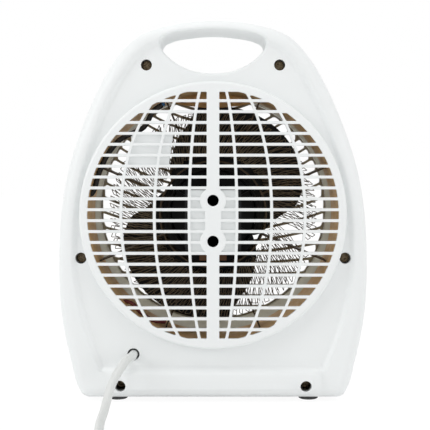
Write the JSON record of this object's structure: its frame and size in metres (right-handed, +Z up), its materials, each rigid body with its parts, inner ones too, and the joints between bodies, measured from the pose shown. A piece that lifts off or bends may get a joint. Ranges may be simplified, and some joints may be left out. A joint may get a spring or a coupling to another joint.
{
  "type": "fan heater",
  "caption": "Upright portable fan heater with a carrying handle, round grilles over a two-blade fan and a ring of heating wire, front rotary controls and a mains cord with plug.",
  "frame": {"origin": "on the floor below the middle of the heater's box, without its cord", "axes": "+Z up, +Y out of the rear grille (the side the picture shows), +X to the left as seen from behind"},
  "size_m": [0.22, 0.3742, 0.2706],
  "materials": {
    "white_plastic": "moulded, fine satin sheen",
    "black_plastic": "moulded, slightly glossy",
    "tan_mica": "pressed mica band, matt",
    "brown_mica": "pressed mica sheet, matt",
    "heating_alloy": "drawn resistance wire, dull",
    "steel": "zinc plated, satin",
    "laminated_steel": "stacked sheets under dark varnish",
    "winding": "varnished copper winding under tape",
    "brass": "turned, satin",
    "bronzed_steel": "bronzed screw, satin",
    "black_sleeving": "glass fibre sleeving, matt",
    "blue_insulation": "smooth insulation, satin",
    "red_insulation": "smooth insulation, satin",
    "switch_body": "pressed insulating body, matt",
    "red_lens": "clear red lens, polished",
    "lamp_glass": "small glow lamp",
    "foot_rubber": "soft, matt",
    "cord_sheath": "flexible sheath, satin"
  },
  "bodies": {
    "housing": {"rear_cover": "white_plastic", "front_shell": "white_plastic", "front_grille": "white_plastic", "duct_liner": "tan_mica", "heater_frame": "brown_mica", "heating_wire_rear": "heating_alloy", "heating_wire_front": "heating_alloy", "motor_stack": "laminated_steel", "motor_coil": "winding", "motor_bracket_rear": "steel", "motor_bracket_front": "steel", "bearing_rear": "brass", "bearing_front": "brass", "tie_screw_left": "steel", "tie_screw_right": "steel", "motor_screw_upper": "steel", "motor_screw_lower": "steel", "case_screw_top_left": "bronzed_steel", "case_screw_top_right": "bronzed_steel", "case_screw_side_left": "bronzed_steel", "case_screw_side_right": "bronzed_steel", "case_screw_bottom_left": "bronzed_steel", "case_screw_bottom_right": "bronzed_steel", "thermal_cutout": "black_plastic", "sensor_loom": "black_sleeving", "crimp_sleeve": "blue_insulation", "element_lead": "red_insulation", "cord_clamp": "white_plastic", "clamp_screw_left": "steel", "clamp_screw_right": "steel", "terminal_block": "switch_body", "live_lead": "red_insulation", "neutral_lead": "blue_insulation", "thermostat_body": "switch_body", "thermostat_nut": "brass", "selector_body": "switch_body", "selector_nut": "brass", "indicator_lens": "red_lens", "indicator_lamp": "lamp_glass", "foot_rear_left": "foot_rubber", "foot_rear_right": "foot_rubber", "foot_front_left": "foot_rubber", "foot_front_right": "foot_rubber", "cord": "cord_sheath", "cord_coil": "cord_sheath", "plug_body": "cord_sheath", "plug_pin_outer": "brass", "plug_pin_inner": "brass"},
    "fan_rotor": {"fan": "black_plastic", "fan_collar": "steel", "motor_shaft": "steel", "motor_rotor": "steel"},
    "thermostat_control": {"thermostat_spindle": "steel", "thermostat_knob": "black_plastic"},
    "selector_control": {"selector_spindle": "steel", "selector_knob": "black_plastic"}
  },
  "joints": [
    {"name": "fan_spin", "type": "hinge", "parent": "housing", "child": "fan_rotor", "pos_m": [0, 0, 0.1319], "axis": [0, 1, 0], "continuous": true},
    {"name": "thermostat_turn", "type": "hinge", "parent": "housing", "child": "thermostat_control", "pos_m": [-0.044, -0.04, 0.024], "axis": [0, 1, 0], "range_deg": [0, 300]},
    {"name": "selector_turn", "type": "hinge", "parent": "housing", "child": "selector_control", "pos_m": [0.044, -0.04, 0.024], "axis": [0, 1, 0], "range_deg": [0, 270]}
  ]
}
